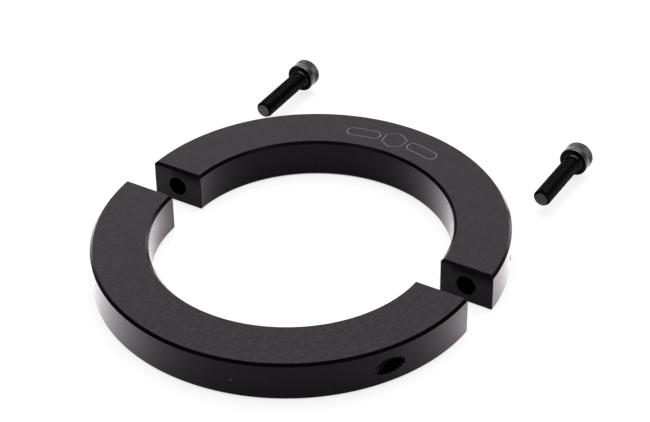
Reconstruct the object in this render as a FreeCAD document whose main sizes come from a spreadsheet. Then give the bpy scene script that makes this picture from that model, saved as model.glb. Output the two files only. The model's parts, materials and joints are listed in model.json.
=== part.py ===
import FreeCAD, Part
import os
import Sketcher

# Two-piece clamp-on shaft collar: two ring halves, drawn together by two cap screws.
#
# Frame: origin on the bore axis of the tapped half, at mid thickness. Z is the bore axis, X runs
# along the split line, and Y runs along the screws, from the tapped half to the counterbored one.
# The collar is shown unclamped and laid out flat: the counterbored half stands off the tapped one
# by the rest shift, and each screw is backed out along the axis of its own hole.

Vector = FreeCAD.Vector
Rule = Sketcher.Constraint

# driving dimensions in millimetres: alias, value, meaning
DIMENSIONS = [
    ("outer_diameter", 127.0, "outside of the ring"),
    ("bore_diameter", 90.0, "shaft bore"),
    ("thickness", 13.7, "width along the shaft"),
    ("split_gap", 1.8, "between the split faces of the clamped collar"),
    ("edge_chamfer", 0.9, "bevel round the flat faces of a half"),
    ("corner_break", 0.3, "bevel on the upright corners of a split face"),
    ("clearance_hole", 6.6, "screw hole of the counterbored half"),
    ("counterbore", 11.0, "pocket for a screw's head"),
    ("seat_height", 16.5, "counterbore's floor, from the bore's centre line"),
    ("tapped_hole", 6.1, "plain hole in place of the M6 thread"),
    ("tapped_lead_in", 0.4, "bevel at the split-face mouth of a tapped hole"),
    ("screw_diameter", 6.0, "M6 thread over its crests"),
    ("screw_length", 25.0, "under the head"),
    ("tip_chamfer", 0.8, "bevel at the flat end of the thread"),
    ("neck_fillet", 0.25, "under the head"),
    ("head_diameter", 10.0, "cap head"),
    ("head_height", 6.0, "cap head"),
    ("head_chamfer", 0.6, "bevel at the socket end of the head"),
    ("socket_flats", 5.0, "hexagon socket across its flats"),
    ("socket_depth", 3.0, "hexagon socket"),
    ("rest_shift_x", 1.9, "counterbored half at rest, along the split line"),
    ("rest_shift_y", 11.1, "counterbored half at rest, along the screws"),
    ("backed_out", 64.0, "screw at rest, from its seat"),
]

SCREW_OFFSET = "(Dimensions.outer_diameter + Dimensions.bore_diameter) / 4"
SIDES = {"left": "-", "right": ""}
TOLERANCE = 1e-4


def fill_sheet(doc):
    sheet = doc.addObject("Spreadsheet::Sheet", "Dimensions")
    for row, (alias, value, meaning) in enumerate(DIMENSIONS, start=1):
        sheet.set(f"A{row}", meaning)
        sheet.set(f"B{row}", str(value))
        sheet.setAlias(f"B{row}", alias)
    doc.recompute()
    return sheet


# sketches


def new_sketch(body, name, role, raised=None):
    """A sketch on an origin plane of its own body, raised off it by an expression."""
    sketch = body.newObject("Sketcher::SketchObject", f"{body.Label}_{name}")
    plane = next(item for item in body.Origin.OriginFeatures if item.Role == role)
    sketch.AttachmentSupport = [(plane, "")]
    sketch.MapMode = "FlatFace"
    if raised:
        sketch.setExpression("AttachmentOffset.Base.z", raised)
    return sketch


def bind(sketch, label, rule, expression):
    """Add a dimension that the sheet drives."""
    index = sketch.addConstraint(rule)
    sketch.renameConstraint(index, label)
    sketch.setExpression(f"Constraints.{label}", expression)


def add_circle(sketch, label, diameter, side=None):
    """A circle at the sketch's origin, or at the screw offset to one side of it."""
    rough_x = {None: 0, "-": -50, "": 50}[side]
    circle = sketch.addGeometry(Part.Circle(Vector(rough_x, 0, 0), Vector(0, 0, 1), 3), False)
    if side is None:
        sketch.addConstraint(Rule("Coincident", circle, 3, -1, 1))
    else:
        sketch.addConstraint(Rule("PointOnObject", circle, 3, -1))
        reach = Rule("DistanceX", -1, 1, circle, 3, rough_x)
        bind(sketch, f"{label}_offset", reach, f"{side}{SCREW_OFFSET}")
    bind(sketch, label, Rule("Diameter", circle, 6), diameter)


def add_outline(sketch, corners):
    """Straight edges from corner to corner, closed. Returns their indices."""
    edges = []
    for start, end in zip(corners, corners[1:] + corners[:1]):
        edges.append(sketch.addGeometry(Part.LineSegment(start, end), False))
    for edge, following in zip(edges, edges[1:] + edges[:1]):
        sketch.addConstraint(Rule("Coincident", edge, 2, following, 1))
    return edges


def add_saw_cut(sketch, split_level, facing):
    """A rectangle from the split face out past the ring, on the side that is cut away."""
    reach = 70
    away = -facing * reach
    corners = [Vector(-reach, 0), Vector(reach, 0), Vector(reach, away), Vector(-reach, away)]
    split, right, far, left = add_outline(sketch, corners)
    sketch.addConstraint(Rule("Symmetric", split, 1, split, 2, -2))
    sketch.addConstraint(Rule("Horizontal", far))
    for edge in (right, left):
        sketch.addConstraint(Rule("Vertical", edge))
    width = Rule("DistanceX", split, 1, split, 2, 2 * reach)
    bind(sketch, "width", width, "Dimensions.outer_diameter * 1.1")
    depth = Rule("DistanceY", far, 1, split, 2, reach * facing)
    bind(sketch, "depth", depth, f"Dimensions.outer_diameter * {facing}")
    if split_level:
        bind(sketch, "level", Rule("DistanceY", -1, 1, split, 1, 1), split_level)
    else:
        sketch.addConstraint(Rule("PointOnObject", split, 1, -1))


def add_hexagon(sketch, label, across_flats):
    """A regular hexagon about the sketch's origin, two of its sides level."""
    corner = Vector(3, 0, 0)
    turns = [FreeCAD.Rotation(Vector(0, 0, 1), 60 * n) for n in range(6)]
    sides = add_outline(sketch, [turn.multVec(corner) for turn in turns])
    rim = sketch.addGeometry(Part.Circle(Vector(), Vector(0, 0, 1), 3), True)
    sketch.addConstraint(Rule("Coincident", rim, 3, -1, 1))
    for side in sides:
        sketch.addConstraint(Rule("PointOnObject", side, 1, rim))
    for side in sides[1:]:
        sketch.addConstraint(Rule("Equal", sides[0], side))
    sketch.addConstraint(Rule("Horizontal", sides[1]))
    bind(sketch, label, Rule("Distance", sides[1], 1, sides[4], 5), across_flats)


# features


def pad(body, sketch, name, length, side_type="One side", downward=False):
    feature = body.newObject("PartDesign::Pad", f"{body.Label}_{name}")
    feature.Profile = sketch
    feature.SideType = side_type
    feature.Reversed = downward
    feature.setExpression("Length", length)


def pocket(body, sketch, name, depth=None, side_type="One side"):
    """Cut the sketch's outline to a depth, or right through. It has to take material away."""
    body.Document.recompute()
    before = body.Shape.Volume
    feature = body.newObject("PartDesign::Pocket", f"{body.Label}_{name}")
    feature.Profile = sketch
    feature.SideType = side_type
    if depth:
        feature.setExpression("Length", depth)
    else:
        feature.Type = "ThroughAll"
    body.Document.recompute()
    if body.Shape.Volume > before - 1:
        raise RuntimeError(f"{feature.Name} cuts nothing")


def dress(body, kind, name, size_property, size, wanted):
    """A chamfer or fillet on each edge of the body that wanted() picks."""
    body.Document.recompute()
    base = body.Tip
    picked = [f"Edge{n}" for n, edge in enumerate(base.Shape.Edges, start=1) if wanted(edge)]
    if not picked:
        raise RuntimeError(f"{name}: no such edge on {body.Label}")
    feature = body.newObject(f"PartDesign::{kind}", f"{body.Label}_{name}")
    feature.Base = (base, picked)
    feature.setExpression(size_property, size)


def chamfer(body, name, size, wanted):
    dress(body, "Chamfer", name, "Size", size, wanted)


def flat_at(edge, axis, level):
    """Whether the whole edge lies at one level along an axis."""
    box = edge.BoundBox
    ends = (getattr(box, f"{axis}Min"), getattr(box, f"{axis}Max"))
    return all(abs(end - level) < TOLERANCE for end in ends)


def round_of(edge, radius):
    """Whether the edge is an arc or circle of this radius."""
    is_round = edge.Curve.TypeId == "Part::GeomCircle"
    return is_round and abs(edge.Curve.Radius - radius) < TOLERANCE


# pieces


def new_body(doc, name):
    body = doc.addObject("PartDesign::Body", name)
    body.Label = name
    return body


def make_half_ring(doc, sheet, name, split_level, facing):
    """Half of the ring: facing 1 keeps the +Y side of the split face, -1 keeps the -Y side."""
    body = new_body(doc, name)
    ring = new_sketch(body, "ring", "XY_Plane")
    # a circle starts and ends on its sketch's X axis: turn that to the side that is cut away
    seam_aside = FreeCAD.Rotation(Vector(0, 0, 1), -90 * facing)
    ring.AttachmentOffset = FreeCAD.Placement(Vector(), seam_aside)
    add_circle(ring, "outside", "Dimensions.outer_diameter")
    add_circle(ring, "bore", "Dimensions.bore_diameter")
    pad(body, ring, "blank", "Dimensions.thickness", "Symmetric")
    cut = new_sketch(body, "cut", "XY_Plane")
    add_saw_cut(cut, split_level, facing)
    pocket(body, cut, "saw_cut", side_type="Symmetric")

    half_thickness = sheet.thickness / 2
    split_face = sheet.split_gap if split_level else 0

    def upright_corner(edge):
        return flat_at(edge, "Y", split_face) and edge.BoundBox.ZLength > half_thickness

    def flat_face_rim(edge):
        return flat_at(edge, "Z", half_thickness) or flat_at(edge, "Z", -half_thickness)

    chamfer(body, "edge_bevels", "Dimensions.edge_chamfer", flat_face_rim)
    chamfer(body, "corner_breaks", "Dimensions.corner_break", upright_corner)
    return body


def add_hole_pair(body, name, diameter, raised=None):
    """One round hole each side of the bore. Returns the sketch."""
    sketch = new_sketch(body, name, "XZ_Plane", raised)
    for side, sign in SIDES.items():
        add_circle(sketch, f"{side}_hole", diameter, sign)
    return sketch


def make_tapped_half(doc, sheet):
    """The half that the screws pull on. Its two tapped holes run out through the rim."""
    body = make_half_ring(doc, sheet, "tapped_half", None, -1)
    holes = add_hole_pair(body, "holes", "Dimensions.tapped_hole")
    pocket(body, holes, "tapping", side_type="Symmetric")

    def split_face_mouth(edge):
        return round_of(edge, sheet.tapped_hole / 2) and flat_at(edge, "Y", 0)

    chamfer(body, "lead_ins", "Dimensions.tapped_lead_in", split_face_mouth)
    return body


def make_counterbored_half(doc, sheet):
    """The half that the heads bear on, in counterbores that open through the rim."""
    split_level = "Dimensions.split_gap"
    body = make_half_ring(doc, sheet, "counterbored_half", split_level, 1)
    holes = add_hole_pair(body, "holes", "Dimensions.clearance_hole")
    pocket(body, holes, "drilling", side_type="Symmetric")
    # the XZ plane faces -Y, so a level above the centre line is a negative offset
    seats = add_hole_pair(body, "seats", "Dimensions.counterbore", "-Dimensions.seat_height")
    pocket(body, seats, "counterboring")
    body.setExpression("Placement.Base.x", "Dimensions.rest_shift_x")
    body.setExpression("Placement.Base.y", "Dimensions.rest_shift_y")
    return body


def make_cap_screw(doc, sheet, side, sign):
    """Socket head cap screw, made upright with its bearing face at zero, then laid along Y."""
    body = new_body(doc, f"{side}_cap_screw")
    shank = new_sketch(body, "shank", "XY_Plane")
    add_circle(shank, "thread", "Dimensions.screw_diameter")
    pad(body, shank, "thread", "Dimensions.screw_length", downward=True)
    head = new_sketch(body, "head", "XY_Plane")
    add_circle(head, "cap", "Dimensions.head_diameter")
    pad(body, head, "cap", "Dimensions.head_height")

    def neck(edge):
        return round_of(edge, sheet.screw_diameter / 2) and flat_at(edge, "Z", 0)

    def tip(edge):
        return flat_at(edge, "Z", -sheet.screw_length)

    def head_rim(edge):
        return flat_at(edge, "Z", sheet.head_height)

    dress(body, "Fillet", "neck_fillet", "Radius", "Dimensions.neck_fillet", neck)
    chamfer(body, "tip_bevel", "Dimensions.tip_chamfer", tip)
    chamfer(body, "head_bevel", "Dimensions.head_chamfer", head_rim)
    socket = new_sketch(body, "socket", "XY_Plane", "Dimensions.head_height")
    add_hexagon(socket, "flats", "Dimensions.socket_flats")
    pocket(body, socket, "socketing", "Dimensions.socket_depth")

    along_y = FreeCAD.Rotation(Vector(1, 0, 0), -90)
    body.Placement = FreeCAD.Placement(Vector(), along_y)
    body.setExpression("Placement.Base.x", f"Dimensions.rest_shift_x + {sign}1 * {SCREW_OFFSET}")
    seated = "Dimensions.rest_shift_y + Dimensions.seat_height"
    body.setExpression("Placement.Base.y", f"{seated} + Dimensions.backed_out")
    return body


def check(doc, pieces):
    """Every object has to be sound, and every piece one closed solid."""
    for item in doc.Objects:
        if {"Invalid", "Error"} & set(item.State):
            raise RuntimeError(f"{item.Name} is {item.State}")
    for piece in pieces:
        shape = piece.Shape
        if shape.isNull() or not shape.isValid() or len(shape.Solids) != 1:
            raise RuntimeError(f"{piece.Label} is not one valid solid")
        print(f"{piece.Label}: {shape.Volume:.1f} mm3, {shape.BoundBox}")


def main():
    doc = FreeCAD.newDocument("shaft_collar")
    sheet = fill_sheet(doc)
    pieces = [make_tapped_half(doc, sheet), make_counterbored_half(doc, sheet)]
    pieces += [make_cap_screw(doc, sheet, side, sign) for side, sign in SIDES.items()]
    doc.recompute()
    check(doc, pieces)
    os.makedirs("parts", exist_ok=True)
    for piece in pieces:
        piece.Shape.exportStep(f"parts/{piece.Label}.step")


main()
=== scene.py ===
import json
import math

import bmesh
import bpy
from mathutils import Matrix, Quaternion, Vector


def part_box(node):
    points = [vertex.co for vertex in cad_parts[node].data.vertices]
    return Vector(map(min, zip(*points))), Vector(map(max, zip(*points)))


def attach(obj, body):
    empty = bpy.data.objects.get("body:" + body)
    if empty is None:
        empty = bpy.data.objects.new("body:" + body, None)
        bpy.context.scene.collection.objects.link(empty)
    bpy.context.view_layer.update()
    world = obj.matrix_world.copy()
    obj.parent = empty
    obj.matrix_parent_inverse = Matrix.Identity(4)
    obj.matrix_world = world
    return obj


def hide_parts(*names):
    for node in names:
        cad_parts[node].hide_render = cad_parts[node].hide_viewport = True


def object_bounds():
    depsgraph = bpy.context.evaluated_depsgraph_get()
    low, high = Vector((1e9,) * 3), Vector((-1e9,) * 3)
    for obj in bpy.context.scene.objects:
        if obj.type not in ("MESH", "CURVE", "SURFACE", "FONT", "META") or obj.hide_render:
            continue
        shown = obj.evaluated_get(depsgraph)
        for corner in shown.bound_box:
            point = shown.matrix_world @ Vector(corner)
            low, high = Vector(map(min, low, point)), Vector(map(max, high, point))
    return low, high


# Two-piece shaft collar, taken apart and laid flat: finished meshes, materials, light and camera
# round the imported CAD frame. Lengths are metres in the frame's own axes: Z is the bore axis,
# X runs along the split line and Y along the screws.

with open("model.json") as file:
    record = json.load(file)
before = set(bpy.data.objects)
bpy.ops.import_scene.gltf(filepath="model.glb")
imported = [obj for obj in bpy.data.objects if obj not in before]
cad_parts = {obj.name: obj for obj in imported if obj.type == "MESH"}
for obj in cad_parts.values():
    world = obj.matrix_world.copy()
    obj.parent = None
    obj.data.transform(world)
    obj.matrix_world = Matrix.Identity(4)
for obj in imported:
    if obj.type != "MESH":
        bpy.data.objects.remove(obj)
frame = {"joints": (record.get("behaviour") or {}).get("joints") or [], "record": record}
cad_low, cad_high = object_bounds()
MM = 0.001


# sizes read from the frame

def travel(name):
    """How far, and which way, a slide takes its body from rest to the end of its range."""
    slide = next(joint for joint in frame["joints"] if joint["name"] == name)
    return Vector(slide["axis"]) * slide["range_m"][1]


clamp = next(mount for mount in frame["record"]["mounts"] if mount["name"] == "shaft_clamp")
tapped_low, tapped_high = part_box("tapped_half")
OUTER_RADIUS = -tapped_low.y
BORE_RADIUS = clamp["dims"]["r_mm"] * MM
THICKNESS = tapped_high.z - tapped_low.z
TOP = tapped_high.z
EDGE_BEVEL = (THICKNESS - clamp["dims"]["length_mm"] * MM) / 2
SCREW_OFFSET = (OUTER_RADIUS + BORE_RADIUS) / 2
SIDES = {"left": -1, "right": 1}
CLOSING = travel("halves_close")
REAR_CENTRE = -CLOSING
REAR_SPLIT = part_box("counterbored_half")[0].y - REAR_CENTRE.y

# a length too small to see, for gaps and tolerances
HAIR = 0.02 * MM

# details of the halves
CORNER_BREAK = 0.3 * MM
EDGE_ROUND = 0.12 * MM
STEPS_ROUND_HALF = 180
TAPPED_CREST_RADIUS = 2.55 * MM
TAPPED_ROOT_RADIUS = 3.05 * MM
LEAD_IN = 0.4 * MM
CLEARANCE_HOLE_RADIUS = 3.3 * MM
COUNTERBORE_RADIUS = 5.5 * MM
SEAT_HEIGHT = 16.5 * MM
MOUTH_BEVEL = 0.08 * MM
# (share of a pitch, radius) pairs from one root to the next
TAPPED_PROFILE = [
    (-0.0625, TAPPED_ROOT_RADIUS),
    (0.0625, TAPPED_ROOT_RADIUS),
    (0.357, TAPPED_CREST_RADIUS),
    (0.643, TAPPED_CREST_RADIUS),
]

# M6 cap screw
PITCH = 1.0 * MM
THREAD_RADIUS = 3.0 * MM
THREAD_FLANK_RADIUS = 2.69 * MM
THREAD_ROOT_RADIUS = 2.387 * MM
# (share of a pitch, radius) pairs from one crest to the next
THREAD_PROFILE = [
    (-0.0625, THREAD_RADIUS),
    (0.0625, THREAD_RADIUS),
    (0.24, THREAD_FLANK_RADIUS),
    (0.4166, THREAD_ROOT_RADIUS),
    (0.5834, THREAD_ROOT_RADIUS),
    (0.76, THREAD_FLANK_RADIUS),
]
CREST_ABOVE = 2.95 * MM
TIP_BEVEL = 0.8 * MM
THREAD_RUN_OUT = 1.2 * MM
NECK_FILLET = 0.25 * MM
HEAD_RADIUS = 5.0 * MM
HEAD_HEIGHT = 6.0 * MM
HEAD_BEVEL = 0.6 * MM
BEARING_EDGE = 0.25 * MM
KNURL_TEETH = 36
KNURL_DEPTH = 0.26 * MM
KNURL_START = 2.2 * MM
KNURL_FADE = 0.3 * MM
SOCKET_FLATS = 5.0 * MM
SOCKET_DEPTH = 3.0 * MM
SOCKET_MOUTH_RADIUS = 3.05 * MM
SOCKET_MOUTH_DEPTH = 0.25 * MM
COLUMNS = 4 * KNURL_TEETH

# engraved mark
STROKE = 0.5 * MM
ENGRAVING_DEPTH = 0.1 * MM
MARK_RADIUS = SCREW_OFFSET - 1.0 * MM
HEXAGON_RADIUS = 4.4 * MM
SLOT_START = 7.6 * MM
SLOT_END = 15.0 * MM
SLOT_HEIGHT = 4.4 * MM
# (share of the stroke's width, share of its depth) pairs round its section, upward positive. It
# reaches as far above the face as below.
STROKE_SECTION = [(0.5, 1), (0.2, -1), (-0.2, -1), (-0.5, 1)]

# material slots of a half, then of a screw, in the order of their lists of finishes. The mark's slot
# comes last on the half that has it.
WALL_SLOT = 0
EDGE_SLOT = 1
FLAT_SLOT = 2
SPLIT_FACE_SLOT = 3
# a screw's thread flanks and bearing face take a painted shade, darker than the oxide, and its crests a
# less dark painted shade
PAINTED_SHADE_SLOT = 1
CREST_SLOT = 2
# the head's bearing edge: lighter, a painted highlight along with rubbed wear
RUBBED_HIGHLIGHT_SLOT = 3

# edges sharper than this, in degrees, aren't shaded smooth
HALF_SHARP_ANGLE = 30
SCREW_SHARP_ANGLE = 28


# meshes

def new_object(name, bm, materials=()):
    """An object from a closed mesh, with its faces turned outward."""
    bmesh.ops.remove_doubles(bm, verts=bm.verts, dist=1e-7)
    bmesh.ops.recalc_face_normals(bm, faces=bm.faces)
    mesh = bpy.data.meshes.new(name)
    bm.to_mesh(mesh)
    bm.free()
    for material in materials:
        mesh.materials.append(material)
    obj = bpy.data.objects.new(name, mesh)
    bpy.context.scene.collection.objects.link(obj)
    return obj


def add_ring(bm, points):
    return [bm.verts.new(point) for point in points]


def bridge(bm, lower, upper, slots=None):
    """A band of quads between two closed rings of vertices, in the material slot of each column."""
    count = len(lower)
    for here in range(count):
        after = (here + 1) % count
        face = bm.faces.new((lower[here], lower[after], upper[after], upper[here]))
        if slots:
            face.material_index = slots[here]


def about_axis(axis_x, y, radius, column):
    """A point in one column of a round shape whose axis is parallel to Y."""
    angle = 2 * math.pi * column / COLUMNS
    return Vector((axis_x + radius * math.sin(angle), y, radius * math.cos(angle)))


def add_round(bm, axis_x, y, radii):
    """A ring of vertices about an axis: one radius for all columns, or one for each."""
    if not isinstance(radii, list):
        radii = [radii] * COLUMNS
    return add_ring(bm, [about_axis(axis_x, y, radius, n) for n, radius in enumerate(radii)])


def add_turned(bm, axis_x, profile, first_cap=True):
    """A round shape about an axis, from (y, radii) pairs, closed at its last end."""
    rings = [add_round(bm, axis_x, y, radii) for y, radii in profile]
    for lower, upper in zip(rings, rings[1:]):
        bridge(bm, lower, upper)
    if first_cap:
        bm.faces.new(rings[0])
    bm.faces.new(rings[-1])


def add_thread(bm, axis_x, start, end, profile, limit):
    """A right-hand thread between two levels. profile is one turn of it, and limit(y, radius) is the
    radius that the ends of the thread allow."""
    per_turn = len(profile)
    turns = math.ceil((end - start) / PITCH) + 2
    rows = []
    for row in range(per_turn * turns + 1):
        share, radius = profile[row % per_turn]
        level = start + (row // per_turn + share - 1) * PITCH
        points = []
        for column in range(COLUMNS):
            y = min(max(level + PITCH * column / COLUMNS, start), end)
            points.append(about_axis(axis_x, y, limit(y, radius), column))
        rows.append(add_ring(bm, points))
    for row in range(len(rows) - 1):
        for column in range(COLUMNS):
            after = (column + 1) % COLUMNS
            # past the last column the thread goes on in the next turn's rows
            beside = row if after else row + per_turn
            if beside + 1 < len(rows):
                near = (rows[row][column], rows[row + 1][column])
                far = (rows[beside][after], rows[beside + 1][after])
                bm.faces.new((near[0], far[0], far[1], near[1]))


def cut_away(obj, cutters):
    """Take the cutters out of the object."""
    for cutter in cutters:
        modifier = obj.modifiers.new("cut", "BOOLEAN")
        modifier.operation = "DIFFERENCE"
        modifier.solver = "MANIFOLD"
        modifier.object = cutter
    evaluated = obj.evaluated_get(bpy.context.evaluated_depsgraph_get())
    obj.data = bpy.data.meshes.new_from_object(evaluated)
    obj.modifiers.clear()
    for cutter in cutters:
        bpy.data.objects.remove(cutter)


def finish_shading(obj, sharp_angle):
    """Smooth shading that stays flat on flat faces and breaks at real edges."""
    obj.data.shade_smooth()
    obj.data.set_sharp_from_angle(angle=math.radians(sharp_angle))
    weighted = obj.modifiers.new("weighted_normals", "WEIGHTED_NORMAL")
    weighted.keep_sharp = True


# the two halves

def rounded(corners, radii, steps=3):
    """A closed outline with its corners rounded off. Returns the points, and for each of them
    whether a rounded stretch follows it."""
    points = []
    on_round = []
    for index, (corner, radius) in enumerate(zip(corners, radii)):
        before = (corners[index - 1] - corner).normalized()
        after = (corners[(index + 1) % len(corners)] - corner).normalized()
        half_angle = before.angle(after) / 2
        centre = corner + (before + after).normalized() * radius / math.sin(half_angle)
        first = corner + before * radius / math.tan(half_angle)
        last = corner + after * radius / math.tan(half_angle)
        for step in range(steps + 1):
            spoke = (first.lerp(last, step / steps) - centre).normalized() * radius
            points.append(centre + spoke)
            on_round.append(step < steps)
    return points, on_round


def ring_section(drop, draw_in):
    """The ring's cross-section as (radius, z) points, with drop taken off its flat faces and
    draw_in off its walls."""
    half = THICKNESS / 2 - drop
    inner = BORE_RADIUS + draw_in
    outer = OUTER_RADIUS - draw_in
    bevel = max(EDGE_BEVEL - drop - draw_in, HAIR)
    upper = [
        Vector((inner, half - bevel)),
        Vector((inner + bevel, half)),
        Vector((outer - bevel, half)),
        Vector((outer, half - bevel)),
    ]
    lower = [Vector((corner.x, -corner.y)) for corner in reversed(upper)]
    return rounded(upper + lower, [min(EDGE_ROUND, bevel)] * 8)


def section_slots():
    """The material slot of each side of the cross-section."""
    points, on_round = ring_section(0, 0)
    slots = []
    for point, after, is_round in zip(points, points[1:] + points[:1], on_round):
        if is_round:
            slots.append(EDGE_SLOT)
        elif abs(point.y) == abs(after.y) == THICKNESS / 2:
            slots.append(FLAT_SLOT)
        else:
            slots.append(WALL_SLOT)
    return slots


def split_face_steps():
    """How the section grows behind a split face: (depth, drop) pairs."""
    far = 10 * EDGE_BEVEL
    corners = [Vector((0, EDGE_BEVEL)), Vector((EDGE_BEVEL, 0)), Vector((far, 0)), Vector((0, far))]
    points, _ = rounded(corners, [EDGE_ROUND, EDGE_ROUND, 0, 0])
    steps = [(point.x, point.y) for point in points if point.length < far / 2]
    return sorted(steps + [(CORNER_BREAK, EDGE_BEVEL - CORNER_BREAK)])


def make_half_ring(name, centre, split, facing, materials):
    """Half of the ring, from one split face round to the other. facing is 1 for the +Y half."""
    bm = bmesh.new()

    def station(depth, drop, share):
        points, _ = ring_section(drop, max(CORNER_BREAK - depth, 0))
        ring = []
        for radius, z in points:
            first = math.asin((split + depth) / radius)
            angle = first + (math.pi - 2 * first) * share
            place = Vector((radius * math.cos(angle), facing * radius * math.sin(angle), z))
            ring.append(centre + place)
        return add_ring(bm, ring)

    ends = split_face_steps()
    deepest, _ = ends[-1]
    stations = [station(depth, drop, 0) for depth, drop in ends]
    for step in range(1, STEPS_ROUND_HALF):
        stations.append(station(deepest, 0, step / STEPS_ROUND_HALF))
    stations += [station(depth, drop, 1) for depth, drop in reversed(ends)]
    slots = section_slots()
    for near, far in zip(stations, stations[1:]):
        bridge(bm, near, far, slots)
    for end in (stations[0], stations[-1]):
        bm.faces.new(end).material_index = SPLIT_FACE_SLOT
    return new_object(name, bm, materials)


def make_tap(side, seated_tip):
    """Cutter for a tapped hole: an M6 thread a little larger than the seated screw's own."""
    bm = bmesh.new()
    axis_x = side * SCREW_OFFSET
    start = seated_tip - math.ceil((seated_tip + OUTER_RADIUS) / PITCH) * PITCH
    end = LEAD_IN

    def limit(y, radius):
        return min(radius, TAPPED_CREST_RADIUS + min(y - start, end - y))

    add_thread(bm, axis_x, start, end, TAPPED_PROFILE, limit)
    for y in (start, end):
        bm.faces.new(add_round(bm, axis_x, y, TAPPED_CREST_RADIUS))
    return new_object("tap", bm)


def make_countersink(side):
    """Cutter for the bevelled mouth of a tapped hole."""
    bm = bmesh.new()
    depth = TAPPED_ROOT_RADIUS + LEAD_IN - TAPPED_CREST_RADIUS
    profile = [(-depth, TAPPED_CREST_RADIUS), (depth, TAPPED_CREST_RADIUS + 2 * depth)]
    add_turned(bm, side * SCREW_OFFSET, profile)
    return new_object("countersink", bm)


def make_stepped_drill(side):
    """Cutter for a clearance hole with its counterbore, which opens through the rim. The seat is a
    hair deeper than in the frame, so that it doesn't coincide with a seated head."""
    bm = bmesh.new()
    mouth = REAR_CENTRE.y + REAR_SPLIT
    seat = REAR_CENTRE.y + SEAT_HEIGHT - HAIR
    profile = [
        (mouth - MOUTH_BEVEL, CLEARANCE_HOLE_RADIUS + 2 * MOUTH_BEVEL),
        (mouth + MOUTH_BEVEL, CLEARANCE_HOLE_RADIUS),
        (seat, CLEARANCE_HOLE_RADIUS),
        (seat, COUNTERBORE_RADIUS),
        (REAR_CENTRE.y + OUTER_RADIUS, COUNTERBORE_RADIUS),
    ]
    add_turned(bm, REAR_CENTRE.x + side * SCREW_OFFSET, profile)
    return new_object("stepped_drill", bm)


def make_tapped_half(materials):
    half = make_half_ring("tapped_half_ring", Vector(), 0, -1, materials)
    cutters = []
    for name, side in SIDES.items():
        screw_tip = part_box(f"{name}_cap_screw")[0].y
        seated_tip = screw_tip + CLOSING.y + travel(f"{name}_screw_in").y
        cutters += [make_tap(side, seated_tip), make_countersink(side)]
    cut_away(half, cutters)
    finish_shading(half, HALF_SHARP_ANGLE)
    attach(half, "tapped_half")
    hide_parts("tapped_half")


def make_counterbored_half(materials):
    half = make_half_ring("counterbored_half_ring", REAR_CENTRE, REAR_SPLIT, 1, materials)
    cutters = [make_stepped_drill(side) for side in SIDES.values()]
    cutters += make_mark_cutters()
    cut_away(half, cutters)
    paint_engraving(half, len(materials) - 1)
    finish_shading(half, HALF_SHARP_ANGLE)
    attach(half, "counterbored_half")
    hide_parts("counterbored_half")


# generic mark on the counterbored half: a hexagon between two curved slots, in outline

def on_mark_circle(along, out):
    """A point of the mark: along the circle from its middle, and out from the circle."""
    angle = along / MARK_RADIUS
    radius = MARK_RADIUS + out
    return REAR_CENTRE + Vector((radius * math.sin(angle), radius * math.cos(angle), 0))


def hexagon_outline(widening):
    radius = HEXAGON_RADIUS + widening
    corners = [math.radians(60 * corner) for corner in range(6)]
    return [on_mark_circle(radius * math.sin(a), radius * math.cos(a)) for a in corners]


def slot_outline(side, widening, steps=12):
    reach = SLOT_HEIGHT / 2 + widening
    outline = []
    for heading, start, end in ((1, SLOT_START, SLOT_END), (-1, SLOT_END, SLOT_START)):
        for step in range(steps):
            outline.append((start + (end - start) * step / steps, heading * reach))
        for step in range(steps):
            angle = math.pi * step / steps
            along = end + heading * reach * math.sin(angle)
            outline.append((along, heading * reach * math.cos(angle)))
    return [on_mark_circle(side * along, out) for along, out in outline]


def make_mark_cutters():
    """Cutters for the strokes: closed strips with sloped sides."""
    outlines = [hexagon_outline]
    outlines += [lambda widening, side=side: slot_outline(side, widening) for side in SIDES.values()]
    cutters = []
    for outline in outlines:
        bm = bmesh.new()
        rings = []
        for share, height in STROKE_SECTION:
            raised = Vector((0, 0, TOP + height * ENGRAVING_DEPTH))
            rings.append(add_ring(bm, [point + raised for point in outline(share * STROKE)]))
        for near, far in zip(rings, rings[1:] + rings[:1]):
            bridge(bm, near, far)
        cutters.append(new_object("stroke", bm))
    return cutters


def paint_engraving(half, slot):
    """Give the cut faces of the mark their own material slot."""
    for face in half.data.polygons:
        sunk = TOP - face.center.z
        place = face.center - REAR_CENTRE
        out = place.xy.length - MARK_RADIUS
        along = MARK_RADIUS * math.atan2(place.x, place.y)
        in_groove = 0.1 * ENGRAVING_DEPTH < sunk < 1.1 * ENGRAVING_DEPTH
        if in_groove and abs(out) < HEXAGON_RADIUS + STROKE and abs(along) < SLOT_END + SLOT_HEIGHT:
            face.material_index = slot


# cap screws

def socket_radii():
    """Radius of the hexagon socket in each column, its corners to the sides."""
    radii = []
    for column in range(COLUMNS):
        from_flat = (360 * column / COLUMNS + 30) % 60 - 30
        radii.append(SOCKET_FLATS / 2 / math.cos(math.radians(from_flat)))
    return radii


def knurl_radii():
    """Radius of the knurled part of the head in each column."""
    radii = []
    for column in range(COLUMNS):
        from_crest = 2 * math.pi * KNURL_TEETH * column / COLUMNS
        radii.append(HEAD_RADIUS - KNURL_DEPTH * (1 - math.cos(from_crest)) / 2)
    return radii


def quarter_round(first, last, steps=4):
    """(y, radius) pairs round a quarter circle that starts off square to the axis."""
    pairs = []
    for step in range(steps + 1):
        angle = math.pi / 2 * step / steps
        y = first[0] + (last[0] - first[0]) * (1 - math.cos(angle))
        pairs.append((y, first[1] + (last[1] - first[1]) * math.sin(angle)))
    return pairs


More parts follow.
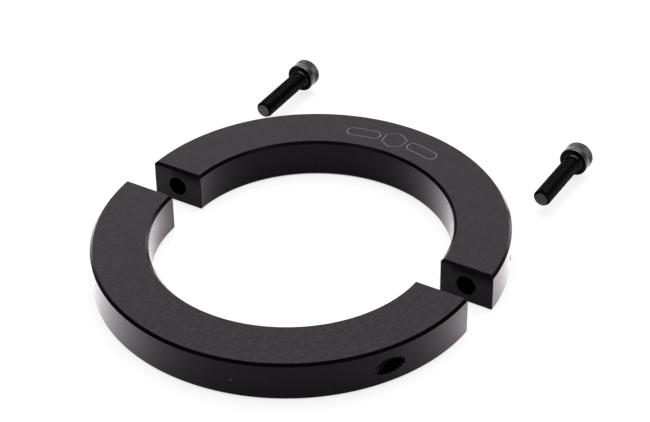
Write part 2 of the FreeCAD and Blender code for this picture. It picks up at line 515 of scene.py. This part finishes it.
def paint_screw(screw, axis_x, tip, bearing):
    """Give the thread, its crests and the head's bearing face and edge their own material slots:
    painted shade on the thread's flanks and the bearing face, less of it on the crests, and a painted
    highlight on the bearing edge.
    """
    thread_end = bearing - NECK_FILLET - THREAD_RUN_OUT / 2
    for face in screw.data.polygons:
        y = face.center.y
        if tip + HAIR < y < thread_end:
            radius = math.hypot(face.center.x - axis_x, face.center.z)
            face.material_index = CREST_SLOT if radius > CREST_ABOVE else PAINTED_SHADE_SLOT
        # the bearing face takes the thread's painted shade
        elif abs(y - bearing) < HAIR / 2:
            face.material_index = PAINTED_SHADE_SLOT
        # the bearing edge takes a painted highlight, along with rubbed wear
        elif bearing < y < bearing + BEARING_EDGE:
            face.material_index = RUBBED_HIGHLIGHT_SLOT


def make_cap_screw(name, materials):
    """Socket head cap screw along Y: flat tip, thread, neck fillet, knurled head and socket."""
    low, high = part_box(name)
    axis_x = (low.x + high.x) / 2
    tip = low.y
    top = high.y
    bearing = top - HEAD_HEIGHT
    neck = bearing - NECK_FILLET
    tip_radius = THREAD_RADIUS - TIP_BEVEL

    def limit(y, radius):
        fullness = min((neck - y) / THREAD_RUN_OUT, 1)
        run_out = THREAD_RADIUS - (THREAD_RADIUS - radius) * fullness
        return min(run_out, tip_radius + y - tip)

    bm = bmesh.new()
    bm.faces.new(add_round(bm, axis_x, tip, tip_radius))
    add_thread(bm, axis_x, tip, neck, THREAD_PROFILE, limit)

    shoulder = top - HEAD_BEVEL
    knurl = knurl_radii()
    socket_top = top - SOCKET_MOUTH_DEPTH
    socket_floor = top - SOCKET_DEPTH
    fillet = quarter_round((bearing, THREAD_RADIUS + NECK_FILLET), (neck, THREAD_RADIUS))
    head = quarter_round((bearing, HEAD_RADIUS - BEARING_EDGE), (bearing + BEARING_EDGE, HEAD_RADIUS))
    head += [
        (bearing + KNURL_START, HEAD_RADIUS),
        (bearing + KNURL_START + KNURL_FADE, knurl),
        (shoulder - KNURL_DEPTH, knurl),
        (shoulder, [min(radius, HEAD_RADIUS - KNURL_DEPTH / 2) for radius in knurl]),
        (top, HEAD_RADIUS - HEAD_BEVEL),
        (top, SOCKET_MOUTH_RADIUS),
        (socket_top, socket_radii()),
        (socket_floor, socket_radii()),
        (socket_floor - SOCKET_FLATS / 8, SOCKET_FLATS / 8),
    ]
    add_turned(bm, axis_x, fillet[::-1] + head, first_cap=False)
    screw = new_object(f"{name}_body", bm, materials)
    paint_screw(screw, axis_x, tip, bearing)
    finish_shading(screw, SCREW_SHARP_ANGLE)
    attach(screw, name)
    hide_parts(name)


# materials

# sizes are those of the pattern's features, and colours are what the surface reflects face on.
# Most of a noise's values lie in its range, and the pattern goes from one end of it to the other.
NOISE_RANGE = (0.35, 0.65)
ANODISED_MOTTLE = 1.3 * MM
ANODISED_GRAIN = 0.22 * MM
ANODISED_GRAIN_DEPTH = 0.02 * MM
ANODISED_SHEEN_PATCH = 1.2 * MM
ANODISED_ROUGHNESS_CHANGE = 0.05
ANODISED_TINT = (1.0, 0.95, 0.985, 1.0)
DUST_SPACING = 5.5 * MM
DUST_SIZE = 0.022
DUST_SCARCITY = 0.62
DUST = (0.14, 0.14, 0.145, 1.0)
MARK_PITS = 0.12 * MM
MARK_PIT_DEPTH = 0.02 * MM
MARK_ROUGHNESS = 0.6
OXIDE_PATCH = 1.6 * MM
OXIDE_PATCH_DEPTH = 0.01 * MM
OXIDE_BUMP = 0.4
OXIDE_SHEEN_PATCH = 0.7 * MM
OXIDE_SHEEN_RANGE = (0.3, 0.7)
OXIDE_ROUGHNESS = (0.3, 0.42)

# name, dark and light colour, roughness; in the order of a half's slots
HALF_FINISHES = [
    ("black_anodised", (0.0038, 0.0029, 0.0038), (0.0048, 0.0039, 0.0048), 0.19),
    ("black_anodised_edge", (0.006, 0.005, 0.006), (0.012, 0.010, 0.012), 0.2),
    ("black_anodised_flat", (0.0040, 0.0032, 0.0040), (0.0086, 0.0076, 0.0086), 0.19),
    ("black_anodised_cut", (0.0036, 0.0027, 0.0036), (0.0050, 0.0041, 0.0050), 0.1),
]
# name, dark and light colour, how much of the reflection at grazing angles is left; in the order of
# a screw's slots
SCREW_FINISHES = [
    ("black_oxide", (0.014, 0.0135, 0.0145), (0.028, 0.027, 0.029), 1.0),
    # thread flanks and bearing face: painted shade, darker than the oxide and with less reflection at
    # grazing angles
    ("black_oxide_painted_shade", (0.002, 0.002, 0.002), (0.005, 0.005, 0.005), 0.4),
    # crests: a less dark painted shade than the flanks, so that they show as lighter ticks
    ("black_oxide_crest", (0.012, 0.0115, 0.012), (0.02, 0.0195, 0.021), 0.6),
    # bearing edge: lighter, a painted highlight along with rubbed wear
    ("black_oxide_rubbed_highlight", (0.03, 0.029, 0.03), (0.09, 0.088, 0.09), 1.0),
]
MARK_DARK = (0.028, 0.028, 0.031)
MARK_LIGHT = (0.066, 0.064, 0.069)


class Nodes:
    """A material's node tree, with short calls to add and join its nodes."""

    def __init__(self, name):
        self.material = bpy.data.materials.new(name)
        self.material.use_nodes = True
        self.tree = self.material.node_tree
        self.shader = self.tree.nodes["Principled BSDF"]

    def add(self, kind, inputs=None, **settings):
        made = self.tree.nodes.new(kind)
        for setting, value in settings.items():
            setattr(made, setting, value)
        for socket, value in (inputs or {}).items():
            self.put(made.inputs[socket], value)
        return made

    def put(self, socket, value):
        """Set a socket to a plain value, or link it to a node's first output or to an output."""
        if isinstance(value, bpy.types.Node):
            value = value.outputs[0]
        if isinstance(value, bpy.types.NodeSocket):
            self.tree.links.new(value, socket)
        else:
            socket.default_value = value

    def place(self):
        return self.add("ShaderNodeTexCoord").outputs["Object"]

    def math(self, operation, first, second):
        return self.add("ShaderNodeMath", {0: first, 1: second}, operation=operation)

    def noise(self, feature_size, detail, fineness=0.5):
        inputs = {"Vector": self.place(), "Scale": 1 / feature_size}
        inputs.update({"Detail": detail, "Roughness": fineness})
        return self.add("ShaderNodeTexNoise", inputs).outputs["Fac"]

    def spread(self, value, low, high, to_low, to_high):
        inputs = {"Value": value, "From Min": low, "From Max": high}
        inputs.update({"To Min": to_low, "To Max": to_high})
        return self.add("ShaderNodeMapRange", inputs)

    def blend(self, share, first, second):
        """The first colour where share is 0, and the second where it is 1."""
        made = self.add("ShaderNodeMix", data_type="RGBA")
        # a mix node has sockets for every data type, and these are the ones for colours
        self.put(made.inputs[0], share)
        self.put(made.inputs[6], first)
        self.put(made.inputs[7], second)
        return made.outputs[2]

    def bump(self, height, distance, strength=1.0):
        inputs = {"Height": height, "Distance": distance, "Strength": strength}
        return self.add("ShaderNodeBump", inputs)

    def set(self, **inputs):
        """Set the shader's own sockets, with _ for a space in their names."""
        for name, value in inputs.items():
            self.put(self.shader.inputs[name.replace("_", " ")], value)


def black_anodised(name, dark, light, roughness):
    """Black anodising over fine-grained aluminium: soft mottling, grain, and specks of dust.
    It reflects more and more towards grazing angles."""
    nodes = Nodes(name)
    pattern = nodes.noise(ANODISED_MOTTLE, detail=3.0, fineness=0.85)
    mottling = nodes.spread(pattern, *NOISE_RANGE, 0.0, 1.0)
    colour = nodes.blend(mottling, (*dark, 1.0), (*light, 1.0))
    cells = {"Vector": nodes.place(), "Scale": 1 / DUST_SPACING}
    voronoi = nodes.add("ShaderNodeTexVoronoi", cells)
    near = nodes.math("LESS_THAN", voronoi.outputs["Distance"], DUST_SIZE)
    chosen = nodes.math("GREATER_THAN", voronoi.outputs["Color"], DUST_SCARCITY)
    colour = nodes.blend(nodes.math("MULTIPLY", near, chosen), colour, DUST)
    smoothest = roughness - ANODISED_ROUGHNESS_CHANGE
    roughest = roughness + ANODISED_ROUGHNESS_CHANGE
    sheen = nodes.noise(ANODISED_SHEEN_PATCH, detail=3.0, fineness=0.7)
    rough = nodes.spread(sheen, *NOISE_RANGE, smoothest, roughest)
    grain = nodes.bump(nodes.noise(ANODISED_GRAIN, detail=3.0), ANODISED_GRAIN_DEPTH)
    nodes.set(Base_Color=colour, Roughness=rough, Normal=grain)
    nodes.set(Metallic=1.0, Specular_Tint=ANODISED_TINT)
    return nodes.material


def laser_mark():
    """The pale, matt, pitted bottom of the engraved strokes."""
    nodes = Nodes("laser_mark")
    pits = nodes.noise(MARK_PITS, detail=2.0)
    colour = nodes.blend(pits, (*MARK_DARK, 1.0), (*MARK_LIGHT, 1.0))
    nodes.set(Base_Color=colour, Roughness=MARK_ROUGHNESS, Normal=nodes.bump(pits, MARK_PIT_DEPTH))
    return nodes.material


def black_oxide(name, dark, light, at_the_edge):
    """Black oxide on steel, lightly oiled: uneven in colour and sheen, and faintly uneven in height."""
    nodes = Nodes(name)
    patches = nodes.noise(OXIDE_PATCH, detail=4.0)
    colour = nodes.blend(patches, (*dark, 1.0), (*light, 1.0))
    sheen = nodes.noise(OXIDE_SHEEN_PATCH, detail=3.0)
    rough = nodes.spread(sheen, *OXIDE_SHEEN_RANGE, *OXIDE_ROUGHNESS)
    relief = nodes.bump(patches, OXIDE_PATCH_DEPTH, OXIDE_BUMP)
    nodes.set(Base_Color=colour, Roughness=rough, Normal=relief)
    nodes.set(Metallic=1.0, Specular_Tint=(at_the_edge, at_the_edge, at_the_edge, 1.0))
    return nodes.material


# the studio

CAMERA_HEADING = math.radians(-31.163)
CAMERA_ELEVATION = math.radians(35.656)
CAMERA_ROLL = math.radians(-0.711)
CAMERA_DISTANCE = 0.6494
CAMERA_AIM = Vector((-3.26, 8.21, 0)) * MM
LENS = 109.48

# the surface that everything lies on, a hair below the halves so that the faces don't coincide
FLOOR_LEVEL = -TOP - HAIR
FLOOR_REACH = 2.2
FLOOR_COLOUR = (0.65, 0.65, 0.65, 1.0)
FLOOR_GLOW = 0.75
# the same, to the camera
FLOOR_COLOUR_SEEN = (0.1, 0.1, 0.1, 1.0)
FLOOR_GLOW_SEEN = 0.8
WHITE = (1.0, 1.0, 1.0, 1.0)
BACKDROP_BRIGHTNESS = 1.0
FILL_LIGHT = 0.4

# name, heading and elevation in degrees, distance, width and height in metres, radiance
SOFTBOXES = [
    ("overhead_softbox", -31, 80, 2.2, 3.0, 3.0, 6.0),
    ("rear_softbox", -20, 50, 3.0, 4.0, 2.0, 3.0),
    ("backdrop", -15, 13, 3.5, 5.0, 1.6, 2.6),
]


def heading_vector(heading, elevation):
    """Unit vector that points along a compass heading, from +Y towards +X, and up by elevation."""
    level = math.cos(elevation)
    return Vector((level * math.sin(heading), level * math.cos(heading), math.sin(elevation)))


def make_camera():
    target = (cad_low + cad_high) / 2 + CAMERA_AIM
    looking = heading_vector(CAMERA_HEADING, -CAMERA_ELEVATION)
    data = bpy.data.cameras.new("camera")
    data.lens = LENS
    camera = bpy.data.objects.new("camera", data)
    camera.location = target - looking * CAMERA_DISTANCE
    camera.rotation_mode = "QUATERNION"
    rolled = Quaternion((0, 0, 1), CAMERA_ROLL)
    camera.rotation_quaternion = looking.to_track_quat("-Z", "Y") @ rolled
    bpy.context.scene.collection.objects.link(camera)
    bpy.context.scene.camera = camera


def studio_floor():
    """A white table lit from below. The camera sees it just white, and the metal sees it brighter."""
    nodes = Nodes("studio_floor")
    to_camera = nodes.add("ShaderNodeLightPath").outputs["Is Camera Ray"]
    colour = nodes.blend(to_camera, FLOOR_COLOUR, FLOOR_COLOUR_SEEN)
    glow = nodes.spread(to_camera, 0.0, 1.0, FLOOR_GLOW, FLOOR_GLOW_SEEN)
    nodes.set(Base_Color=colour, Roughness=0.9, Specular_IOR_Level=0.0)
    nodes.set(Emission_Color=WHITE, Emission_Strength=glow)
    return nodes.material


def make_floor():
    bm = bmesh.new()
    bmesh.ops.create_grid(bm, x_segments=1, y_segments=1, size=FLOOR_REACH)
    floor = new_object("studio_floor", bm, [studio_floor()])
    floor.location.z = FLOOR_LEVEL


def make_softbox(name, heading, elevation, distance, width, height, radiance):
    """A rectangular lamp that faces the collar, of a given brightness whatever its size."""
    data = bpy.data.lights.new(name, "AREA")
    data.shape = "RECTANGLE"
    data.size = width
    data.size_y = height
    data.energy = radiance * math.pi * width * height
    softbox = bpy.data.objects.new(name, data)
    outward = heading_vector(math.radians(heading), math.radians(elevation))
    softbox.location = outward * distance
    softbox.rotation_mode = "QUATERNION"
    softbox.rotation_quaternion = (-outward).to_track_quat("-Z", "Y")
    softbox.visible_camera = False
    bpy.context.scene.collection.objects.link(softbox)


def make_world():
    """A plain pale backdrop to the camera, and a weaker fill light to everything else."""
    world = bpy.data.worlds.new("studio")
    bpy.context.scene.world = world
    world.use_nodes = True
    tree = world.node_tree
    background = tree.nodes["Background"]
    background.inputs["Color"].default_value = WHITE
    path = tree.nodes.new("ShaderNodeLightPath")
    strength = tree.nodes.new("ShaderNodeMapRange")
    strength.inputs["To Min"].default_value = FILL_LIGHT
    strength.inputs["To Max"].default_value = BACKDROP_BRIGHTNESS
    tree.links.new(path.outputs["Is Camera Ray"], strength.inputs["Value"])
    tree.links.new(strength.outputs["Result"], background.inputs["Strength"])


def make_studio():
    bpy.context.scene.view_settings.view_transform = "Standard"
    make_camera()
    make_floor()
    make_world()
    for softbox in SOFTBOXES:
        make_softbox(*softbox)


half_finishes = [black_anodised(*finish) for finish in HALF_FINISHES]
screw_finishes = [black_oxide(*finish) for finish in SCREW_FINISHES]
make_tapped_half(half_finishes)
make_counterbored_half(half_finishes + [laser_mark()])
for screw_side in SIDES:
    make_cap_screw(f"{screw_side}_cap_screw", screw_finishes)
make_studio()
